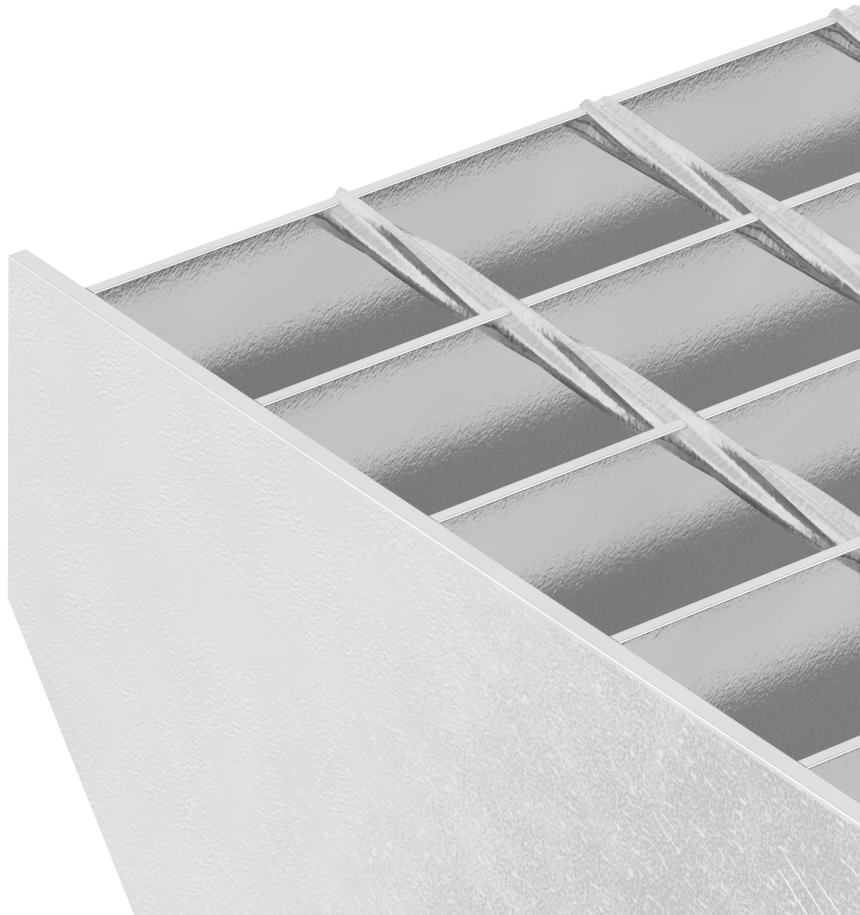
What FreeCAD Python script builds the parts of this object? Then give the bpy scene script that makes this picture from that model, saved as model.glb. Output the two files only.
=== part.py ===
import FreeCAD, Part
import math
import os

V = FreeCAD.Vector

# Driving sizes in mm. X runs along the bearing bars, -Y is the front, Z is up.
tread_length = 600.0
tread_depth = 240.0

# End plates
plate_height = 100.0
plate_thickness = 3.0
plate_rear_edge = 50.0
rear_cut_depth = 40.0
front_cut = 15.0
hole_radius = 7.0
hole_spacing = 120.0
hole_above_bottom = 22.0

# Bearing bars
bar_thickness = 2.0
bar_height = 40.0
bar_pitch = 34.33
rear_margin = 12.17

# Cross bars: square bars with hollow sides, twisted a quarter turn from one bearing bar to the next
cross_radius = 3.15
cross_land = 36.0
cross_valley_angle = 28.0
cross_valley_radius = 1.95
cross_axis_drop = 2.02
cross_pitch = 41.9
cross_first = 39.4
cross_phase_first = 50.0
cross_phase_rest = 6.0
twist_length = 4.0 * bar_pitch
twist_step = 20.0

# Folded nosing along the front edge
nosing_width = 30.0
nosing_front_drop = 40.0
nosing_rear_drop = 18.0
nosing_thickness = 2.5
nosing_bend = 3.5
nosing_hole_radius = 4.5
nosing_hole_pitch = cross_pitch

# Places that follow from the sizes
half_length = tread_length / 2.0
half_depth = tread_depth / 2.0
inner_left = -half_length + plate_thickness
inner_length = tread_length - 2.0 * plate_thickness
nosing_rear_face = -half_depth + nosing_width
first_bar_rear = half_depth - rear_margin
bar_room = first_bar_rear - bar_thickness - nosing_rear_face
bar_count = int(bar_room / bar_pitch) + 1
cross_room = inner_length - cross_first - 2.0 * cross_radius
cross_count = int(cross_room / cross_pitch) + 1
cross_axis_z = plate_height - cross_axis_drop

os.makedirs("parts", exist_ok=True)


def save(shape, name):
    """Write one finished piece."""
    shape.exportStep("parts/" + name + ".step")


def end_plate(x):
    """Flat plate with its lower corners cut and two bolt holes; x is its left face."""
    low = plate_height - plate_rear_edge
    outline = [
        (half_depth, plate_height),
        (half_depth, low),
        (half_depth - rear_cut_depth, 0.0),
        (-half_depth + front_cut, 0.0),
        (-half_depth, front_cut),
        (-half_depth, plate_height),
    ]
    points = [V(x, y, z) for y, z in outline]
    face = Part.Face(Part.makePolygon(points + points[:1]))
    plate = face.extrude(V(plate_thickness, 0, 0))
    for side in (-1.0, 1.0):
        centre = V(x - 1.0, side * hole_spacing / 2.0, hole_above_bottom)
        plate = plate.cut(Part.makeCylinder(hole_radius, plate_thickness + 2.0, centre, V(1, 0, 0)))
    return plate


def cross_section(x, y, phase):
    """Outline of a cross bar at the place y: four flat lands with a hollow side after each."""
    turn = phase + 360.0 * (first_bar_rear - y) / twist_length
    points = []
    for side in range(4):
        start = turn + side * 90.0
        marks = [
            (start, cross_radius),
            (start + cross_land, cross_radius),
            (start + cross_land + cross_valley_angle, cross_valley_radius),
        ]
        for angle, reach in marks:
            a = math.radians(angle)
            points.append(V(x + reach * math.cos(a), y, cross_axis_z + reach * math.sin(a)))
    return Part.makePolygon(points + points[:1])


def cross_bar(x, phase):
    """Twisted bar from the rear bearing bar's rear face to the nosing."""
    length = first_bar_rear - nosing_rear_face
    steps = int(math.ceil(length / twist_length * 360.0 / twist_step))
    sections = []
    for i in range(steps + 1):
        sections.append(cross_section(x, first_bar_rear - length * i / steps, phase))
    return Part.makeLoft(sections, True, False)


def cross_place(k):
    """X of the axis of cross bar k."""
    return inner_left + cross_first + k * cross_pitch


def cross_phase(k):
    """The first cross bar was laid in at another turn than the others."""
    if k == 0:
        return cross_phase_first
    return cross_phase_rest


def bearing_bar(rear, cross_bars):
    """Upright strip from plate to plate, notched where the cross bars are forged in."""
    low = plate_height - bar_height
    bar = Part.makeBox(inner_length, bar_thickness, bar_height, V(inner_left, rear - bar_thickness, low))
    notched = bar.cut(cross_bars)
    # Crumbs that the cut leaves in the cross bars' hollows are dropped.
    return max(notched.Solids, key=lambda solid: solid.Volume)


def nosing():
    """Folded strip along the front edge with one row of round holes."""
    front = -half_depth
    back = nosing_rear_face
    top = plate_height
    t = nosing_thickness
    outline = [
        (front, top - nosing_front_drop),
        (front, top),
        (back, top),
        (back, top - nosing_rear_drop),
        (back - t, top - nosing_rear_drop),
        (back - t, top - t),
        (front + t, top - t),
        (front + t, top - nosing_front_drop),
    ]
    points = [V(inner_left, y, z) for y, z in outline]
    strip = Part.Face(Part.makePolygon(points + points[:1])).extrude(V(inner_length, 0, 0))
    bends = []
    for edge in strip.Edges:
        middle = edge.CenterOfMass
        if edge.Length > inner_length - 1.0 and abs(middle.z - top) < 0.01:
            bends.append(edge)
    strip = strip.makeFillet(nosing_bend, bends)
    count = int((inner_length - nosing_hole_pitch) / nosing_hole_pitch)
    first = -(count - 1) * nosing_hole_pitch / 2.0
    middle = (front + back) / 2.0
    for k in range(count):
        base = V(first + k * nosing_hole_pitch, middle, top - t - 1.0)
        strip = strip.cut(Part.makeCylinder(nosing_hole_radius, t + 2.0, base, V(0, 0, 1)))
    return strip


save(end_plate(-half_length), "end_plate_left")
save(end_plate(half_length - plate_thickness), "end_plate_right")
cross_bars = [cross_bar(cross_place(k), cross_phase(k)) for k in range(cross_count)]
for k, bar in enumerate(cross_bars):
    save(bar, "cross_bar_%02d" % (k + 1))
for i in range(bar_count):
    save(bearing_bar(first_bar_rear - i * bar_pitch, cross_bars), "bearing_bar_%02d" % (i + 1))
save(nosing(), "nosing")
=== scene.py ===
"""Looks of a galvanised stair tread of grating: end plates, bearing bars, twisted cross bars and nosing."""

import math

import bpy
from mathutils import Matrix, Vector


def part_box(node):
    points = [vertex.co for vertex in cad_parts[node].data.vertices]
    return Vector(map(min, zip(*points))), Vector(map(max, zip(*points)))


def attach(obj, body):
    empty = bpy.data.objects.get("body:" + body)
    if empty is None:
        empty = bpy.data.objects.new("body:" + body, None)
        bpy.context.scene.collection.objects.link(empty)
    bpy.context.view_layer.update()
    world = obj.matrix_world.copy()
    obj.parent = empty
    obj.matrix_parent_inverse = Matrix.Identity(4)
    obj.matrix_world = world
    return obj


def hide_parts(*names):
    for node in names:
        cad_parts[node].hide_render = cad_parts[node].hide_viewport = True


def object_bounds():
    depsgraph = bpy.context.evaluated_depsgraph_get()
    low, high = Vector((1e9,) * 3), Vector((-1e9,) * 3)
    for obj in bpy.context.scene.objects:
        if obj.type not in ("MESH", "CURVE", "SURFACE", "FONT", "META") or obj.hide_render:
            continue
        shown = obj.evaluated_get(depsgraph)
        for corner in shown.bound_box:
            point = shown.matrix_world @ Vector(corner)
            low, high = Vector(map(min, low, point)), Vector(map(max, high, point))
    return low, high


bl_info = {
    "name": "Galvanised stair tread",
    "version": (1, 0, 0),
    "blender": (4, 5, 0),
    "location": "3D View > Sidebar > Tread",
    "description": "Models the pieces of a grating stair tread, their zinc finish and a plain studio",
    "category": "Object",
}

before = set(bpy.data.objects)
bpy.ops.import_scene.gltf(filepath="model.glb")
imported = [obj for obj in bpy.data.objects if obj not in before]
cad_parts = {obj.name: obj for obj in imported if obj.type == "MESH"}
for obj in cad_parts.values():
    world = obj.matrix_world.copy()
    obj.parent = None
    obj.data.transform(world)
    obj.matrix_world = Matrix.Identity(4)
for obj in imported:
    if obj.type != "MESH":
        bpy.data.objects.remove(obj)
cad_low, cad_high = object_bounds()

MM = 0.001
NO_TURN = (0.0, 0.0, 0.0)
NO_STRETCH = (1.0, 1.0, 1.0)

# The picture's camera: angles in degrees, place in metres, focal length and height in the picture's pixels
CAMERA_AZIMUTH = -39.167
CAMERA_ELEVATION = 30.532
CAMERA_ROLL = 1.454
CAMERA_PLACE = (-0.998911, -0.822528, 0.763519)
FOCAL_PIXELS = 10790.95
PICTURE_HEIGHT = 915.0

# Directions from the tread to the shades and soft lights of the surround
FRONT_BELOW = (-0.10, -0.75, -0.65)
OVERHEAD = (0.0, 0.0, 1.0)
FRONT_RIGHT = (0.54, -0.51, 0.67)
REAR_LEFT = (-0.73, 0.66, 0.10)

plate_low, plate_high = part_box("end_plate_left")
bar_low, bar_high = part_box("bearing_bar_01")
nosing_low, nosing_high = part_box("nosing")
bar_nodes = sorted(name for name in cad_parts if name.startswith("bearing_bar"))
cross_nodes = sorted(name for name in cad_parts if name.startswith("cross_bar"))
second_bar_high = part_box(bar_nodes[1])[1]
bar_pitch = bar_high.y - second_bar_high.y


def length_property(label, text, default):
    """A length that a user may change, in metres."""
    return bpy.props.FloatProperty(
        name=label, description=text, default=default, min=0.0, precision=5,
        subtype="DISTANCE", unit="LENGTH")


def angle_property(label, text, degrees):
    """An angle that a user may change."""
    return bpy.props.FloatProperty(
        name=label, description=text, default=math.radians(degrees), subtype="ANGLE", unit="ROTATION")


def share_property(label, text, default):
    """A share between nothing and all."""
    return bpy.props.FloatProperty(
        name=label, description=text, default=default, min=0.0, max=1.0, subtype="FACTOR")


def grey_property(label, text, level):
    """A grey that a user may change to any colour."""
    return bpy.props.FloatVectorProperty(
        name=label, description=text, size=3, subtype="COLOR",
        default=(level, level, level), min=0.0, max=1.0)


def level_property(label, text, default):
    """How bright a part of the studio is, where 1 is white."""
    return bpy.props.FloatProperty(name=label, description=text, default=default, min=0.0, max=8.0)


class TreadSizes(bpy.types.PropertyGroup):
    """Sizes of the pieces that the boxes of their nodes don't give."""

    plate_rear_edge: length_property(
        "Rear edge", "Height of the upright rear edge of an end plate", 50.0 * MM)
    plate_rear_cut: length_property(
        "Rear cut", "How far the lower rear corner of an end plate is cut back", 40.0 * MM)
    plate_front_cut: length_property(
        "Front cut", "Leg of the small lower front corner cut", 15.0 * MM)
    plate_hole: length_property("Bolt hole", "Radius of a bolt hole", 7.0 * MM)
    plate_hole_spacing: length_property("Hole spacing", "Distance between the two bolt holes", 120.0 * MM)
    plate_hole_height: length_property(
        "Hole height", "Height of the bolt holes above the lower edge", 22.0 * MM)
    plate_drill: length_property("Drill length", "Length of the cutter for the bolt holes", 20.0 * MM)
    plate_round: length_property("Plate rounding", "Rounding of an end plate's edges", 0.28 * MM)
    bar_round: length_property("Bar rounding", "Rounding of a bearing bar's long edges", 0.28 * MM)
    bar_shoulder: length_property(
        "Bar shoulder", "Depth over which a rolled bar's side falls away to its edge", 9.5 * MM)
    cross_first: length_property(
        "First cross bar", "Axis of the first cross bar from the end plate's inner face", 39.4 * MM)
    cross_pitch: length_property("Cross bar pitch", "Distance between cross bars", 41.9 * MM)
    cross_drop: length_property(
        "Cross bar drop", "Depth of a cross bar's axis below the bars' tops", 2.02 * MM)
    cross_radius: length_property("Cross bar radius", "Reach of a cross bar's edges from its axis", 3.15 * MM)
    cross_back: length_property(
        "Cross bar back", "Reach of the rounded backs of the lands from the axis", 3.00 * MM)
    cross_valley: length_property("Cross bar hollow", "Reach of the hollow sides from the axis", 1.80 * MM)
    cross_land: angle_property("Cross bar land", "Turn from one edge of a land to the other", 28.0)
    cross_wall: angle_property("Cross bar wall", "Turn from the land to the bottom of the hollow", 28.0)
    cross_hollow: length_property(
        "Cross bar hollow rounding", "How far the bottom of a hollow side is rounded out", 0.60 * MM)
    cross_round: length_property(
        "Cross bar edge", "Rounding of the edges between a cross bar's lands and hollows", 0.09 * MM)
    cross_back_round: length_property(
        "Cross bar back edge", "Rounding of the backs of a cross bar's lands", 0.50 * MM)
    cross_phase_first: angle_property("First turn", "Turn of the first cross bar at its rear end", 50.0)
    cross_phase_rest: angle_property("Other turns", "Turn of the other cross bars at their rear ends", 18.0)
    nosing_rear_drop: length_property("Nosing rear leg", "Height of the nosing's rear leg", 18.0 * MM)
    nosing_sheet: length_property("Nosing sheet", "Thickness of the nosing's sheet", 2.5 * MM)
    nosing_bend: length_property("Nosing bend", "Outer radius of the nosing's bends", 3.5 * MM)
    nosing_hole: length_property("Nosing hole", "Radius of a hole in the nosing", 4.5 * MM)
    nosing_hole_pitch: length_property("Nosing hole pitch", "Distance between the nosing's holes", 41.9 * MM)
    nosing_round: length_property("Nosing rounding", "Rounding of the nosing's cut edges", 0.3 * MM)


class TreadFinish(bpy.types.PropertyGroup):
    """Zinc coat of the tread."""

    zinc: grey_property("Zinc", "Colour of the zinc coat", 0.752)
    zinc_dull: grey_property("Dull zinc", "Colour of the coat where it has dulled", 0.712)
    # The grain's dark colour: the grain is the coat's own, and its growth towards the front is painted shade.
    zinc_worn_and_shaded: grey_property("Worn zinc", "Colour of the coat where handling has rubbed it", 0.53)
    # The ripples' colours: the bright one is a painted highlight on one side of each ripple, the shaded one
    # is painted shade on the other side.
    zinc_crest_highlight: grey_property("Bright zinc", "Colour of the crests of the ripples", 0.85)
    zinc_shaded: grey_property("Shaded zinc", "Colour of the troughs of the ripples", 0.64)
    # Scratches are real marks; on the edge roundings this colour is a painted highlight.
    zinc_scratch_and_highlight: grey_property("Rubbed zinc", "Colour of scratches and rubbed edges", 0.95)
    plate_gloss: share_property("Plate roughness", "Roughness of the end plates", 0.15)
    bar_gloss: share_property("Bar roughness", "Roughness of the bearing bars", 0.06)
    cross_gloss: share_property("Cross bar roughness", "Roughness of the cross bars", 0.35)
    nosing_gloss: share_property("Nosing roughness", "Roughness of the nosing", 0.50)
    plate_relief: length_property("Plate relief", "Depth of the grain on the end plates", 0.060 * MM)
    bar_relief: length_property("Bar relief", "Depth of the runs on the bearing bars", 0.022 * MM)
    cross_relief: length_property("Cross bar relief", "Depth of the lumps on the cross bars", 0.26 * MM)


class TreadStudio(bpy.types.PropertyGroup):
    """Plain studio round the tread."""

    surround: level_property("Surround", "Brightness of the pale surround", 1.0)
    front_shade: level_property("Front shade", "Brightness of the shaded side in front of the tread", 0.13)
    top_shade: level_property("Top shade", "Brightness of the surround overhead", 0.68)
    softbox: level_property("Softbox", "Brightness of the soft light above the front right", 1.8)
    side_glow: level_property("Side glow", "Brightness of the soft light behind the rear left corner", 1.12)
    floor_size: length_property("Floor", "Side of the floor", 12.0)
    floor_glow: level_property("Floor glow", "Light that lifts the floor to white in the picture", 0.82)


def deselect():
    """Leave edit mode and select nothing."""
    if bpy.context.object and bpy.context.object.mode != "OBJECT":
        bpy.ops.object.mode_set(mode="OBJECT")
    bpy.ops.object.select_all(action="DESELECT")


def only(piece):
    """Make the piece the only one selected."""
    deselect()
    piece.select_set(True)
    bpy.context.view_layer.objects.active = piece


def pick(piece, kind, test):
    """In edit mode, select the piece's vertices, edges or faces that pass the test and no others."""
    only(piece)
    bpy.ops.object.mode_set(mode="EDIT")
    bpy.ops.mesh.select_mode(type=kind)
    bpy.ops.mesh.select_all(action="DESELECT")
    bpy.ops.object.mode_set(mode="OBJECT")
    data = piece.data
    found = 0
    if kind == "VERT":
        for vert in data.vertices:
            vert.select = test(vert.co)
            found += vert.select
    elif kind == "EDGE":
        for edge in data.edges:
            start, end = (data.vertices[i].co for i in edge.vertices)
            edge.select = test(start, end)
            found += edge.select
    else:
        for face in data.polygons:
            face.select = test(face.center, face.normal)
            found += face.select
    bpy.ops.object.mode_set(mode="EDIT")
    if not found:
        raise RuntimeError("nothing was selected on " + piece.name)


def whole(piece):
    """In edit mode, select all of the piece."""
    only(piece)
    bpy.ops.object.mode_set(mode="EDIT")
    bpy.ops.mesh.select_all(action="SELECT")


def block(name, low, high):
    """A block between two corners, with its place in its mesh."""
    deselect()
    bpy.ops.mesh.primitive_cube_add(size=1.0, location=(0.0, 0.0, 0.0))
    piece = bpy.context.object
    piece.name = name
    piece.data.name = name
    whole(piece)
    bpy.ops.transform.resize(value=tuple(high - low), center_override=(0.0, 0.0, 0.0))
    bpy.ops.transform.translate(value=tuple((low + high) / 2.0))
    bpy.ops.object.mode_set(mode="OBJECT")
    return piece


def drill(piece, centres, axis, radius, depth):
    """Cut round holes through the piece."""
    turn = (0.0, math.radians(90.0), 0.0) if axis == "X" else NO_TURN
    deselect()
    drills = []
    for centre in centres:
        bpy.ops.mesh.primitive_cylinder_add(
            vertices=48, radius=radius, depth=depth, location=centre, rotation=turn)
        drills.append(bpy.context.object)
    deselect()
    for tool in drills:
        tool.select_set(True)
    bpy.context.view_layer.objects.active = drills[0]
    if len(drills) > 1:
        bpy.ops.object.join()
    tool = bpy.context.object
    only(piece)
    cut = piece.modifiers.new("holes", "BOOLEAN")
    cut.operation = "DIFFERENCE"
    cut.solver = "EXACT"
    cut.object = tool
    bpy.ops.object.modifier_apply(modifier=cut.name)
    only(tool)
    bpy.ops.object.delete()


def round_edges(piece, width, segments, angle):
    """Round the piece's sharp edges and keep its flat faces flat."""
    only(piece)
    bpy.ops.object.shade_smooth()
    ease = piece.modifiers.new("rounding", "BEVEL")
    ease.width = width
    ease.segments = segments
    ease.limit_method = "ANGLE"
    ease.angle_limit = angle
    ease.harden_normals = True
    bpy.ops.object.modifier_apply(modifier=ease.name)


def copy_piece(piece, name):
    """A copy of the piece with its own mesh."""
    only(piece)
    bpy.ops.object.duplicate(linked=False)
    twin = bpy.context.object
    twin.name = name
    twin.data.name = name
    return twin


def shift(piece, value):
    """Move the piece's mesh."""
    whole(piece)
    bpy.ops.transform.translate(value=value)
    bpy.ops.object.mode_set(mode="OBJECT")


def settle(piece, node, material):
    """Put the finished piece in its node's place with its finish."""
    piece.data.materials.clear()
    piece.data.materials.append(material)
    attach(piece, "root")
    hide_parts(node)


def join_nodes(tree, source, target):
    """Link a node's output to another node's input."""
    tree.links.new(source, target)


def zinc_skin():
    """Relief and dull patches of a dipped zinc coat, shared by the finishes."""
    if "zinc_skin" in bpy.data.node_groups:
        return bpy.data.node_groups["zinc_skin"]
    tree = bpy.data.node_groups.new("zinc_skin", "ShaderNodeTree")
    face = tree.interface
    face.new_socket("Vector", in_out="INPUT", socket_type="NodeSocketVector")
    for name in ("Grain", "Lumps", "Lump Share"):
        face.new_socket(name, in_out="INPUT", socket_type="NodeSocketFloat")
    for name in ("Height", "Dull"):
        face.new_socket(name, in_out="OUTPUT", socket_type="NodeSocketFloat")
    given = tree.nodes.new("NodeGroupInput")
    result = tree.nodes.new("NodeGroupOutput")
    grain = tree.nodes.new("ShaderNodeTexNoise")
    grain.inputs["Detail"].default_value = 2.0
    grain.inputs["Roughness"].default_value = 0.45
    lumps = tree.nodes.new("ShaderNodeTexNoise")
    lumps.inputs["Detail"].default_value = 1.0
    blend = tree.nodes.new("ShaderNodeMix")
    blend.data_type = "FLOAT"
    patches = tree.nodes.new("ShaderNodeTexNoise")
    patches.inputs["Scale"].default_value = 60.0
    patches.inputs["Detail"].default_value = 4.0
    spread = tree.nodes.new("ShaderNodeMapRange")
    spread.inputs["From Min"].default_value = 0.35
    spread.inputs["From Max"].default_value = 0.68
    for texture in (grain, lumps, patches):
        join_nodes(tree, given.outputs["Vector"], texture.inputs["Vector"])
    join_nodes(tree, given.outputs["Grain"], grain.inputs["Scale"])
    join_nodes(tree, given.outputs["Lumps"], lumps.inputs["Scale"])
    join_nodes(tree, given.outputs["Lump Share"], blend.inputs["Factor"])
    join_nodes(tree, grain.outputs["Fac"], blend.inputs["A"])
    join_nodes(tree, lumps.outputs["Fac"], blend.inputs["B"])
    join_nodes(tree, blend.outputs["Result"], result.inputs["Height"])
    join_nodes(tree, patches.outputs["Fac"], spread.inputs["Value"])
    join_nodes(tree, spread.outputs["Result"], result.inputs["Dull"])
    return tree


def zinc_finish(name, finish, roughness, relief, grain, lumps, lump_share, turn, stretch):
    """A zinc finish whose grain is turned and stretched as the piece was drawn from the bath."""
    if name in bpy.data.materials:
        return bpy.data.materials[name]
    material = bpy.data.materials.new(name)
    material.use_nodes = True
    tree = material.node_tree
    shader = tree.nodes["Principled BSDF"]
    shader.inputs["Metallic"].default_value = 1.0
    shader.inputs["Roughness"].default_value = roughness
    place = tree.nodes.new("ShaderNodeTexCoord")
    draw = tree.nodes.new("ShaderNodeMapping")
    draw.vector_type = "TEXTURE"
    draw.inputs["Rotation"].default_value = turn
    draw.inputs["Scale"].default_value = stretch
    skin = tree.nodes.new("ShaderNodeGroup")
    skin.node_tree = zinc_skin()
    skin.inputs["Grain"].default_value = grain
    skin.inputs["Lumps"].default_value = lumps
    skin.inputs["Lump Share"].default_value = lump_share
    tint = tree.nodes.new("ShaderNodeMix")
    tint.data_type = "RGBA"
    tint.inputs["A"].default_value = (*finish.zinc, 1.0)
    tint.inputs["B"].default_value = (*finish.zinc_dull, 1.0)
    relief_node = tree.nodes.new("ShaderNodeBump")
    relief_node.inputs["Strength"].default_value = 1.0
    relief_node.inputs["Distance"].default_value = relief
    join_nodes(tree, place.outputs["Object"], draw.inputs["Vector"])
    join_nodes(tree, draw.outputs["Vector"], skin.inputs["Vector"])
    join_nodes(tree, skin.outputs["Dull"], tint.inputs["Factor"])
    join_nodes(tree, tint.outputs["Result"], shader.inputs["Base Color"])
    join_nodes(tree, skin.outputs["Height"], relief_node.inputs["Height"])
    join_nodes(tree, relief_node.outputs["Normal"], shader.inputs["Normal"])
    return material


def value_node(tree, operation, first, second):
    """The result of a math operation on two values, each a socket or a number."""
    step = tree.nodes.new("ShaderNodeMath")
    step.operation = operation
    for socket, value in zip(step.inputs, (first, second)):
        if isinstance(value, (int, float)):
            socket.default_value = value
        else:
            join_nodes(tree, value, socket)
    return step.outputs["Value"]


def fade_node(tree, value, start, end, first=0.0, last=1.0):
    """A soft step of a value between two marks."""
    fade = tree.nodes.new("ShaderNodeMapRange")
    fade.interpolation_type = "SMOOTHSTEP"
    fade.inputs["From Min"].default_value = start
    fade.inputs["From Max"].default_value = end
    fade.inputs["To Min"].default_value = first
    fade.inputs["To Max"].default_value = last
    join_nodes(tree, value, fade.inputs["Value"])
    return fade.outputs["Result"]


def noise_node(tree, vector, scale, detail):
    """A noise value over the surface; the scale counts its waves in a metre."""
    noise = tree.nodes.new("ShaderNodeTexNoise")
    noise.inputs["Scale"].default_value = scale
    noise.inputs["Detail"].default_value = detail
    join_nodes(tree, vector, noise.inputs["Vector"])
    return noise.outputs["Fac"]


def drawn_node(tree, vector, degrees, stretch):
    """A plate's coordinates drawn out along a line at some degrees to the level, in its own plane."""
    drawn = tree.nodes.new("ShaderNodeMapping")
    drawn.vector_type = "TEXTURE"
    drawn.inputs["Rotation"].default_value = (math.radians(degrees), 0.0, 0.0)
    drawn.inputs["Scale"].default_value = (1.0, stretch, 1.0)
    join_nodes(tree, vector, drawn.inputs["Vector"])
    return drawn.outputs["Vector"]


def mix_node(tree, factor, first, colour):
    """A colour socket mixed with a fixed colour."""
    mix = tree.nodes.new("ShaderNodeMix")
    mix.data_type = "RGBA"
    mix.inputs["B"].default_value = (*colour, 1.0)
    join_nodes(tree, factor, mix.inputs["Factor"])
    join_nodes(tree, first, mix.inputs["A"])
    return mix.outputs["Result"]


def plate_marks():
    """Ripples of the coat with a painted highlight and painted shade on their two sides, fine grain whose
    darkening towards the front is partly painted shade, and thin scratches of handling towards the front of a
    plate.
    """
    if "plate_marks" in bpy.data.node_groups:
        return bpy.data.node_groups["plate_marks"]
    tree = bpy.data.node_groups.new("plate_marks", "ShaderNodeTree")
    face = tree.interface
    face.new_socket("Vector", in_out="INPUT", socket_type="NodeSocketVector")
    for name in ("Crest", "Trough", "Grain", "Scratch"):
        face.new_socket(name, in_out="OUTPUT", socket_type="NodeSocketFloat")
    given = tree.nodes.new("NodeGroupInput").outputs["Vector"]
    result = tree.nodes.new("NodeGroupOutput")
    parts = tree.nodes.new("ShaderNodeSeparateXYZ")
    join_nodes(tree, given, parts.inputs["Vector"])

    def times(first, second):
        """The product of two values."""
        return value_node(tree, "MULTIPLY", first, second)

    # The grain and the nicks grow towards the front and the lower edge, and leave out the plate's narrow top:
    # the nicks are wear, and the grain's growth there is painted shade.
    forward = value_node(tree, "ADD", times(parts.outputs["Y"], -8.0), times(parts.outputs["Z"], -4.0))
    top = plate_high.z
    under_top = fade_node(tree, parts.outputs["Z"], top - 1.0 * MM, top - 0.3 * MM, 1.0, 0.0)
    wear_and_painted_shade = times(fade_node(tree, forward, -1.25, -0.05), under_top)
    most_worn = times(fade_node(tree, forward, -0.45, 0.0), under_top)

    # Ripples come in patches. Each wave less the same wave a little higher up gives one side a painted
    # highlight, which also raises the relief, and the other side painted shade.
    wave_scale, wave_detail = 2000.0, 1.0
    lying = drawn_node(tree, given, -12.0, 1.8)
    raised = tree.nodes.new("ShaderNodeVectorMath")
    raised.inputs[1].default_value = (0.0, 0.0, 0.22 * MM)
    join_nodes(tree, lying, raised.inputs[0])
    waves = noise_node(tree, lying, wave_scale, wave_detail)
    waves_above = noise_node(tree, raised.outputs["Vector"], wave_scale, wave_detail)
    slope = value_node(tree, "SUBTRACT", waves, waves_above)
    patches = times(fade_node(tree, noise_node(tree, given, 80.0, 2.0), 0.30, 0.60, 0.15, 1.0), under_top)
    lit_crest = times(fade_node(tree, slope, 0.04, 0.30), patches)
    shaded_trough = times(fade_node(tree, slope, -0.30, -0.04, 1.0, 0.0), patches)

    # Fine grain, a little clouded
    cloud_noise = noise_node(tree, drawn_node(tree, given, 20.0, 2.0), 200.0, 2.0)
    clouds = fade_node(tree, cloud_noise, 0.30, 0.60, 0.82, 1.0)
    grain = times(times(noise_node(tree, given, 2100.0, 1.5), wear_and_painted_shade), clouds)

    # Long thin scratches where a drawn-out noise passes its middle, kept in patches, and short nicks
    streaks = noise_node(tree, drawn_node(tree, given, 32.0, 26.0), 260.0, 0.0)
    off_line = value_node(tree, "ABSOLUTE", value_node(tree, "SUBTRACT", streaks, 0.5), 0.0)
    line = fade_node(tree, off_line, 0.006, 0.020, 1.0, 0.0)
    kept = fade_node(tree, noise_node(tree, given, 75.0, 1.0), 0.55, 0.62)
    line = times(times(line, kept), most_worn)
    nicks = noise_node(tree, drawn_node(tree, given, 20.0, 3.0), 1500.0, 0.0)
    nick = times(fade_node(tree, nicks, 0.62, 0.80, 0.0, 0.55), wear_and_painted_shade)
    scratch = value_node(tree, "MAXIMUM", line, nick)
    for name, value in (("Crest", lit_crest), ("Trough", shaded_trough), ("Grain", grain), ("Scratch", scratch)):
        join_nodes(tree, value, result.inputs[name])
    return tree


def plate_finish(finish):
    """Rippled coat of the end plates, with painted highlight and shade on the ripples, the grain (partly
    painted shade) and scratches of handling, and a painted highlight on the edges.
    """
    if "zinc_plate" in bpy.data.materials:
        return bpy.data.materials["zinc_plate"]
    material = zinc_finish(
        "zinc_plate", finish, finish.plate_gloss, finish.plate_relief,
        grain=900.0, lumps=380.0, lump_share=0.5, turn=NO_TURN, stretch=NO_STRETCH)
    tree = material.node_tree
    shader = tree.nodes["Principled BSDF"]
    relief_node = shader.inputs["Normal"].links[0].from_node
    height = relief_node.inputs["Height"].links[0].from_socket
    colour = shader.inputs["Base Color"].links[0].from_socket
    place = tree.nodes.new("ShaderNodeTexCoord")
    marks = tree.nodes.new("ShaderNodeGroup")
    marks.node_tree = plate_marks()
    join_nodes(tree, place.outputs["Object"], marks.inputs["Vector"])
    for name, depth in (("Crest", 0.3), ("Grain", 0.9), ("Scratch", 0.2)):
        height = value_node(tree, "ADD", height, value_node(tree, "MULTIPLY", marks.outputs[name], depth))
    join_nodes(tree, height, relief_node.inputs["Height"])
    facing = tree.nodes.new("ShaderNodeSeparateXYZ")
    join_nodes(tree, place.outputs["Normal"], facing.inputs["Vector"])
    sideways = value_node(tree, "ABSOLUTE", facing.outputs["X"], 0.0)
    along = tree.nodes.new("ShaderNodeSeparateXYZ")
    join_nodes(tree, place.outputs["Object"], along.inputs["Vector"])
    # Painted highlight on the edges: the roundings, which face partly sideways, get a brighter colour, more
    # so towards the front.
    edge_start = fade_node(tree, sideways, 0.15, 0.40)
    edge_end = fade_node(tree, sideways, 0.90, 0.99, 1.0, 0.0)
    edge_highlight_share = fade_node(tree, along.outputs["Y"], 0.02, 0.11, 0.75, 0.25)
    edge = value_node(tree, "MULTIPLY", value_node(tree, "MULTIPLY", edge_start, edge_end), edge_highlight_share)
    # Painted highlight on one side of each ripple and painted shade on the other
    colour = mix_node(tree, marks.outputs["Crest"], colour, finish.zinc_crest_highlight)
    colour = mix_node(tree, marks.outputs["Trough"], colour, finish.zinc_shaded)
    # Grain darkens the colour, more towards the front, where this is painted shade.
    colour = mix_node(tree, fade_node(tree, marks.outputs["Grain"], 0.22, 0.62), colour, finish.zinc_worn_and_shaded)
    colour = mix_node(tree, marks.outputs["Scratch"], colour, finish.zinc_scratch_and_highlight)
    colour = mix_node(tree, edge, colour, finish.zinc_scratch_and_highlight)
    join_nodes(tree, colour, shader.inputs["Base Color"])
    return material


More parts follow.
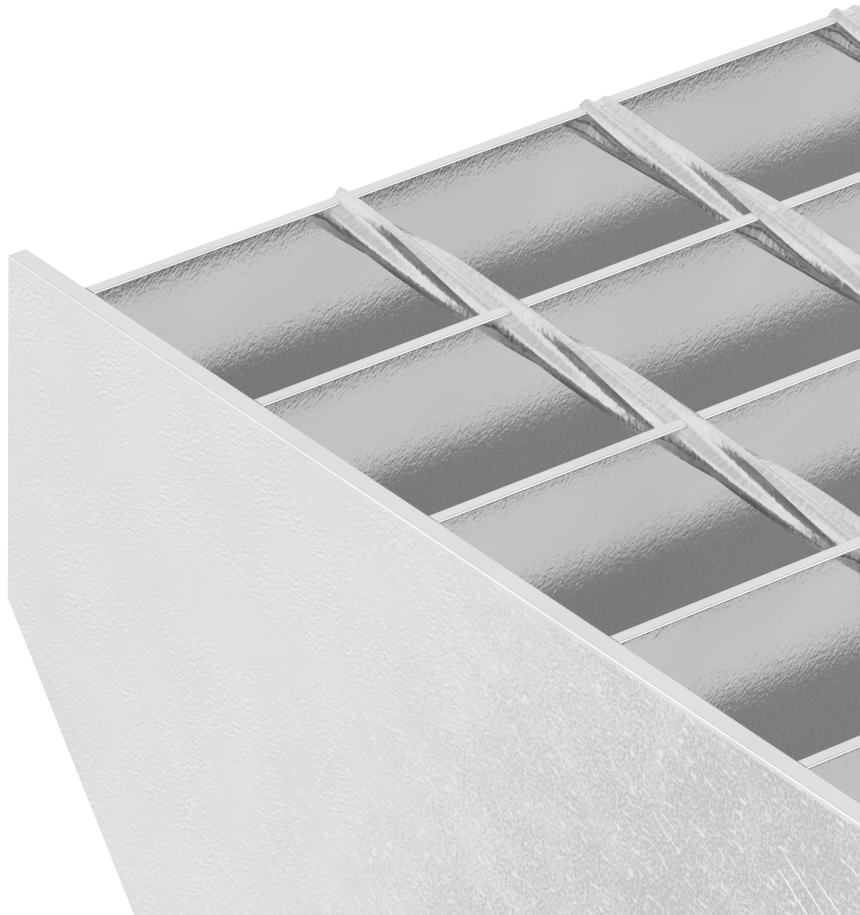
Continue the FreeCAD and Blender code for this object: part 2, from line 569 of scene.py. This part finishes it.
def nosing_finish(finish):
    """Even orange-peel of the nosing."""
    return zinc_finish(
        "zinc_nosing", finish, finish.nosing_gloss, finish.plate_relief,
        grain=900.0, lumps=380.0, lump_share=0.5, turn=NO_TURN, stretch=NO_STRETCH)


def bar_finish(finish):
    """Slanted runs on the sides of the bearing bars."""
    return zinc_finish(
        "zinc_bar", finish, finish.bar_gloss, finish.bar_relief, grain=3000.0, lumps=1000.0, lump_share=0.25,
        turn=(0.0, math.radians(-45.0), 0.0), stretch=(1.6, 1.0, 1.0))


def cross_finish(finish):
    """Lumpy coat of the twisted cross bars."""
    return zinc_finish(
        "zinc_cross", finish, finish.cross_gloss, finish.cross_relief,
        grain=1600.0, lumps=600.0, lump_share=0.5, turn=NO_TURN, stretch=(1.6, 1.0, 1.6))


class TREAD_OT_end_plates(bpy.types.Operator):
    """Model both end plates with cut corners, bolt holes and softened edges"""

    bl_idname = "tread.end_plates"
    bl_label = "End Plates"

    def execute(self, context):
        sizes = context.scene.tread_sizes
        plate = block("plate_left", plate_low, plate_high)
        rear, front = plate_high.y, plate_low.y
        rear_corner = Vector((0.0, rear, plate_high.z - sizes.plate_rear_edge))
        rear_slope = Vector((0.0, rear_corner.z - plate_low.z, -sizes.plate_rear_cut)).normalized()
        front_corner = Vector((0.0, front, plate_low.z + sizes.plate_front_cut))
        front_slope = Vector((0.0, -1.0, -1.0)).normalized()
        for corner, slope in ((rear_corner, rear_slope), (front_corner, front_slope)):
            whole(plate)
            bpy.ops.mesh.bisect(
                plane_co=corner, plane_no=slope, use_fill=True, clear_outer=True, clear_inner=False)
            bpy.ops.object.mode_set(mode="OBJECT")
        middle = (plate_low.x + plate_high.x) / 2.0
        height = plate_low.z + sizes.plate_hole_height
        half = sizes.plate_hole_spacing / 2.0
        centres = [(middle, side * half, height) for side in (-1.0, 1.0)]
        drill(plate, centres, "X", sizes.plate_hole, sizes.plate_drill)
        round_edges(plate, sizes.plate_round, 3, math.radians(25.0))
        twin = copy_piece(plate, "plate_right")
        shift(twin, (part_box("end_plate_right")[0].x - plate_low.x, 0.0, 0.0))
        material = plate_finish(context.scene.tread_finish)
        settle(plate, "end_plate_left", material)
        settle(twin, "end_plate_right", material)
        return {"FINISHED"}


class TREAD_OT_bearing_bars(bpy.types.Operator):
    """Model the bearing bars with rolled edges"""

    bl_idname = "tread.bearing_bars"
    bl_label = "Bearing Bars"

    def execute(self, context):
        sizes = context.scene.tread_sizes
        bar = block("bar_01", bar_low, bar_high)
        pick(bar, "EDGE", lambda a, b: abs(a.x - b.x) > 10.0 * MM)
        bpy.ops.mesh.bevel(offset=sizes.bar_round, segments=9, affect="EDGES")
        for height in (bar_high.z - sizes.bar_shoulder, bar_low.z + sizes.bar_shoulder):
            whole(bar)
            bpy.ops.mesh.bisect(plane_co=(0.0, 0.0, height), plane_no=(0.0, 0.0, 1.0))
        bpy.ops.object.mode_set(mode="OBJECT")
        only(bar)
        bpy.ops.object.shade_smooth_by_angle(angle=math.radians(50.0))
        material = bar_finish(context.scene.tread_finish)
        bars = [bar]
        for node in bar_nodes[1:]:
            twin = copy_piece(bar, node.replace("bearing_", ""))
            shift(twin, (0.0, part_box(node)[1].y - bar_high.y, 0.0))
            bars.append(twin)
        for piece, node in zip(bars, bar_nodes):
            settle(piece, node, material)
        return {"FINISHED"}


class TREAD_OT_cross_bars(bpy.types.Operator):
    """Model the hollow-sided cross bars and twist them"""

    bl_idname = "tread.cross_bars"
    bl_label = "Cross Bars"

    def outline(self, sizes):
        """The section of a cross bar, standing at the origin across Y."""
        deselect()
        bpy.ops.mesh.primitive_circle_add(
            vertices=12, radius=sizes.cross_radius, fill_type="NGON", location=(0.0, 0.0, 0.0),
            rotation=(math.radians(90.0), 0.0, 0.0))
        bar = bpy.context.object
        bpy.ops.object.transform_apply(location=True, rotation=True, scale=True)
        step = math.radians(30.0)

        def at(mark):
            """A test for the four corners with this mark."""
            return lambda p: round(math.atan2(p.z, p.x) / step) % 3 == mark

        valley = sizes.cross_land + sizes.cross_wall
        corners = (
            (0, 0.0, sizes.cross_back),
            (1, sizes.cross_land - step, sizes.cross_radius),
            (2, valley - 2.0 * step, sizes.cross_valley),
        )
        for mark, angle, reach in corners:
            share = reach / sizes.cross_radius
            pick(bar, "VERT", at(mark))
            bpy.ops.transform.rotate(value=angle, orient_axis="Y", center_override=(0.0, 0.0, 0.0))
            bpy.ops.transform.resize(value=(share, 1.0, share), center_override=(0.0, 0.0, 0.0))
        bpy.ops.object.mode_set(mode="OBJECT")
        return bar

    def twisted(self, sizes, name, phase):
        """A cross bar along Y with its rear end at the origin."""
        length = bar_high.y - nosing_high.y
        bar = self.outline(sizes)
        bar.name = name
        bar.data.name = name
        whole(bar)
        bpy.ops.transform.rotate(value=phase, orient_axis="Y", center_override=(0.0, 0.0, 0.0))
        bpy.ops.mesh.extrude_region_move(TRANSFORM_OT_translate={"value": (0.0, -length, 0.0)})
        bpy.ops.mesh.select_all(action="SELECT")
        bpy.ops.mesh.normals_make_consistent(inside=False)

        def long_edge(turn):
            """A test for the four long edges at a turn from the back of a land."""
            quarter = math.radians(90.0)
            near = math.radians(7.0)

            def test(a, b):
                off = (math.atan2(a.z, a.x) - phase - turn + near) % quarter
                return abs(a.y - b.y) > length / 2.0 and off < 2.0 * near
            return test

        roundings = (
            (sizes.cross_land, sizes.cross_round, 2),
            (0.0, sizes.cross_back_round, 8),
            (sizes.cross_land + sizes.cross_wall, sizes.cross_hollow, 10),
        )
        for turn, width, rows in roundings:
            pick(bar, "EDGE", long_edge(turn))
            bpy.ops.mesh.bevel(offset=width, segments=rows, affect="EDGES")
        coarse, fine = 12, 16
        for parts, longest in ((coarse, length), (fine, length / coarse)):
            pick(bar, "EDGE", lambda a, b: abs(abs(a.y - b.y) - longest) < longest * 0.01)
            bpy.ops.mesh.subdivide(number_cuts=parts - 1)
        bpy.ops.object.mode_set(mode="OBJECT")
        only(bar)
        twist = bar.modifiers.new("twist", "SIMPLE_DEFORM")
        twist.deform_method = "TWIST"
        twist.deform_axis = "Y"
        twist.angle = math.radians(360.0) * length / (4.0 * bar_pitch)
        bpy.ops.object.modifier_apply(modifier=twist.name)
        bpy.ops.object.shade_smooth_by_angle(angle=math.radians(28.0))
        return bar

    def execute(self, context):
        sizes = context.scene.tread_sizes
        material = cross_finish(context.scene.tread_finish)
        axis_z = bar_high.z - sizes.cross_drop
        first = bar_low.x + sizes.cross_first
        bars = []
        for k, node in enumerate(cross_nodes):
            if k == 0:
                bar = self.twisted(sizes, "cross_01", sizes.cross_phase_first)
            elif k == 1:
                bar = self.twisted(sizes, "cross_02", sizes.cross_phase_rest)
            else:
                bar = copy_piece(bars[1], node.replace("_bar", ""))
            bars.append(bar)
        for k, (bar, node) in enumerate(zip(bars, cross_nodes)):
            shift(bar, (first + k * sizes.cross_pitch, bar_high.y, axis_z))
            settle(bar, node, material)
        return {"FINISHED"}


class TREAD_OT_nosing(bpy.types.Operator):
    """Model the folded nosing with its row of holes"""

    bl_idname = "tread.nosing"
    bl_label = "Nosing"

    def execute(self, context):
        sizes = context.scene.tread_sizes
        top = nosing_high.z
        centre = (nosing_low + nosing_high) / 2.0
        deselect()
        bpy.ops.mesh.primitive_plane_add(size=1.0, location=(0.0, 0.0, 0.0))
        strip = bpy.context.object
        strip.name = "nosing_strip"
        strip.data.name = "nosing_strip"
        whole(strip)
        bpy.ops.transform.resize(
            value=(nosing_high.x - nosing_low.x, nosing_high.y - nosing_low.y, 1.0),
            center_override=(0.0, 0.0, 0.0))
        bpy.ops.transform.translate(value=(centre.x, centre.y, top))
        for y, drop in ((nosing_low.y, top - nosing_low.z), (nosing_high.y, sizes.nosing_rear_drop)):
            pick(strip, "EDGE", lambda a, b: (
                abs(a.y - y) + abs(b.y - y) < 0.1 * MM and min(a.z, b.z) > top - MM))
            bpy.ops.mesh.extrude_region_move(TRANSFORM_OT_translate={"value": (0.0, 0.0, -drop)})
        pick(strip, "EDGE", lambda a, b: min(a.z, b.z) > top - 0.1 * MM and abs(a.x - b.x) > 10.0 * MM)
        bpy.ops.mesh.bevel(offset=sizes.nosing_bend, segments=6, affect="EDGES")
        bpy.ops.mesh.select_all(action="SELECT")
        bpy.ops.mesh.normals_make_consistent(inside=False)
        bpy.ops.object.mode_set(mode="OBJECT")
        only(strip)
        sheet = strip.modifiers.new("sheet", "SOLIDIFY")
        sheet.thickness = sizes.nosing_sheet
        sheet.offset = -1.0
        sheet.use_even_offset = True
        bpy.ops.object.modifier_apply(modifier=sheet.name)
        room = nosing_high.x - nosing_low.x
        count = int((room - sizes.nosing_hole_pitch) / sizes.nosing_hole_pitch)
        start = -(count - 1) * sizes.nosing_hole_pitch / 2.0
        holes = [(start + k * sizes.nosing_hole_pitch, centre.y, top) for k in range(count)]
        drill(strip, holes, "Z", sizes.nosing_hole, 4.0 * sizes.nosing_sheet)
        round_edges(strip, sizes.nosing_round, 2, math.radians(40.0))
        settle(strip, "nosing", nosing_finish(context.scene.tread_finish))
        return {"FINISHED"}


class TREAD_OT_studio(bpy.types.Operator):
    """Set the floor, the surround, the soft light and the camera"""

    bl_idname = "tread.studio"
    bl_label = "Studio"

    def floor(self, studio):
        """A plain pale floor, white in the picture, under the tread."""
        deselect()
        bpy.ops.mesh.primitive_plane_add(size=studio.floor_size, location=(0.0, 0.0, cad_low.z))
        floor = bpy.context.object
        floor.name = "floor"
        material = bpy.data.materials.new("pale_floor")
        material.use_nodes = True
        tree = material.node_tree
        shader = tree.nodes["Principled BSDF"]
        shader.inputs["Base Color"].default_value = (0.5, 0.5, 0.5, 1.0)
        shader.inputs["Roughness"].default_value = 1.0
        shader.inputs["Specular IOR Level"].default_value = 0.0
        shader.inputs["Emission Color"].default_value = (1.0, 1.0, 1.0, 1.0)
        path = tree.nodes.new("ShaderNodeLightPath")
        lift = value_node(tree, "MULTIPLY", path.outputs["Is Camera Ray"], studio.floor_glow)
        join_nodes(tree, lift, shader.inputs["Emission Strength"])
        floor.data.materials.append(material)
        floor.visible_glossy = False

    def surround(self, scene, studio):
        """A white surround that is shaded in front and overhead and has two soft lights."""
        world = bpy.data.worlds.new("studio")
        scene.world = world
        world.use_nodes = True
        tree = world.node_tree
        light = tree.nodes["Background"]
        ray = tree.nodes.new("ShaderNodeTexCoord")
        path = tree.nodes.new("ShaderNodeLightPath")

        def shade(direction, start, end, level):
            """The level towards a direction, fading to 1 away from it; start and end are cosines."""
            toward = tree.nodes.new("ShaderNodeVectorMath")
            toward.operation = "DOT_PRODUCT"
            toward.inputs[1].default_value = Vector(direction).normalized()
            join_nodes(tree, ray.outputs["Generated"], toward.inputs[0])
            return fade_node(tree, toward.outputs["Value"], start, end, 1.0, level)

        shades = (
            shade(FRONT_BELOW, 0.10, 1.0, studio.front_shade),
            shade(OVERHEAD, 0.58, 0.80, studio.top_shade),
            shade(FRONT_RIGHT, 0.93, 0.985, studio.softbox),
            shade(REAR_LEFT, 0.75, 1.0, studio.side_glow),
        )
        total = studio.surround
        for part in shades:
            total = value_node(tree, "MULTIPLY", part, total)
        seen = tree.nodes.new("ShaderNodeMix")
        seen.data_type = "FLOAT"
        seen.inputs["B"].default_value = 1.0
        join_nodes(tree, path.outputs["Is Camera Ray"], seen.inputs["Factor"])
        join_nodes(tree, total, seen.inputs["A"])
        join_nodes(tree, seen.outputs["Result"], light.inputs["Strength"])
        light.inputs["Color"].default_value = (1.0, 1.0, 1.0, 1.0)

    def camera(self, scene):
        """The camera of the picture: a long lens above the rear left corner."""
        azimuth, elevation = math.radians(CAMERA_AZIMUTH), math.radians(CAMERA_ELEVATION)
        roll = math.radians(CAMERA_ROLL)
        back = Vector((
            math.sin(azimuth) * math.cos(elevation),
            -math.cos(azimuth) * math.cos(elevation),
            math.sin(elevation)))
        side = (-back).cross(Vector((0.0, 0.0, 1.0))).normalized()
        down = (-back).cross(side)
        right = math.cos(roll) * side - math.sin(roll) * down
        up = -(math.sin(roll) * side + math.cos(roll) * down)
        lens = bpy.data.cameras.new("camera")
        lens.sensor_width = 36.0
        lens.lens = FOCAL_PIXELS / PICTURE_HEIGHT * lens.sensor_width
        lens.clip_end = 100.0
        camera = bpy.data.objects.new("camera", lens)
        scene.collection.objects.link(camera)
        place = Matrix((right, up, back)).transposed().to_4x4()
        place.translation = Vector(CAMERA_PLACE)
        camera.matrix_world = place
        scene.camera = camera

    def execute(self, context):
        scene = context.scene
        studio = scene.tread_studio
        self.floor(studio)
        self.surround(scene, studio)
        self.camera(scene)
        scene.view_settings.view_transform = "Standard"
        return {"FINISHED"}


class TREAD_PT_panel(bpy.types.Panel):
    """Lists the tread's pieces and its studio"""

    bl_idname = "TREAD_PT_panel"
    bl_label = "Stair Tread"
    bl_space_type = "VIEW_3D"
    bl_region_type = "UI"
    bl_category = "Tread"

    def draw(self, context):
        layout = self.layout
        for operator in operators:
            layout.operator(operator.bl_idname)
        for group in (context.scene.tread_sizes, context.scene.tread_finish, context.scene.tread_studio):
            column = layout.column()
            for name in group.__annotations__:
                column.prop(group, name)


operators = (
    TREAD_OT_end_plates,
    TREAD_OT_bearing_bars,
    TREAD_OT_cross_bars,
    TREAD_OT_nosing,
    TREAD_OT_studio,
)
classes = (TreadSizes, TreadFinish, TreadStudio, *operators, TREAD_PT_panel)


def register():
    """Register the classes and hang the settings on the scene."""
    for kind in classes:
        bpy.utils.register_class(kind)
    bpy.types.Scene.tread_sizes = bpy.props.PointerProperty(type=TreadSizes)
    bpy.types.Scene.tread_finish = bpy.props.PointerProperty(type=TreadFinish)
    bpy.types.Scene.tread_studio = bpy.props.PointerProperty(type=TreadStudio)


def unregister():
    """Undo what register did."""
    del bpy.types.Scene.tread_studio
    del bpy.types.Scene.tread_finish
    del bpy.types.Scene.tread_sizes
    for kind in reversed(classes):
        bpy.utils.unregister_class(kind)


def main():
    """Register the settings, model the pieces and set the studio."""
    register()
    bpy.ops.tread.end_plates()
    bpy.ops.tread.bearing_bars()
    bpy.ops.tread.cross_bars()
    bpy.ops.tread.nosing()
    bpy.ops.tread.studio()


if __name__ == "__main__":
    main()
